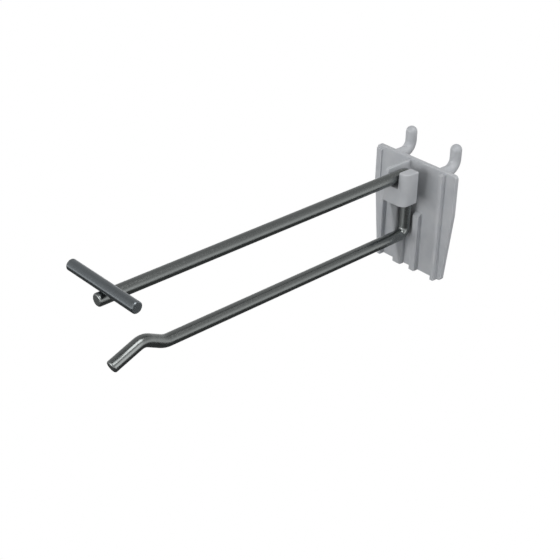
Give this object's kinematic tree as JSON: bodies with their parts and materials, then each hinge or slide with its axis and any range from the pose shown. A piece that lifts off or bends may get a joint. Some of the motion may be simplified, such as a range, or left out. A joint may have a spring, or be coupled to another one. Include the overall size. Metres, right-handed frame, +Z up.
{
  "type": "pegboard hook",
  "caption": "Pegboard display hook: a moulded plate with upturned pegs and a snap-in keeper holds a bent wire with a lower hanging arm and an upper arm that ends in a label bar",
  "frame": {"origin": "on the back face of the plate where it bears on the board, midway between the two pegs and level with their shanks", "axes": "+Z up, +Y into the board, the arms reach out of the board towards -Y, +X to the right when facing the board"},
  "size_m": [0.045, 0.1779, 0.0598],
  "materials": {
    "moulded_plastic": "satin light grey moulded plastic",
    "plated_wire": "bright zinc-nickel plated steel wire, grey",
    "plated_bar": "bright zinc-nickel plated steel rod, grey"
  },
  "bodies": {
    "root": {"back_plate": "moulded_plastic", "hook_wire": "plated_wire", "label_bar": "plated_bar"}
  },
  "joints": []
}
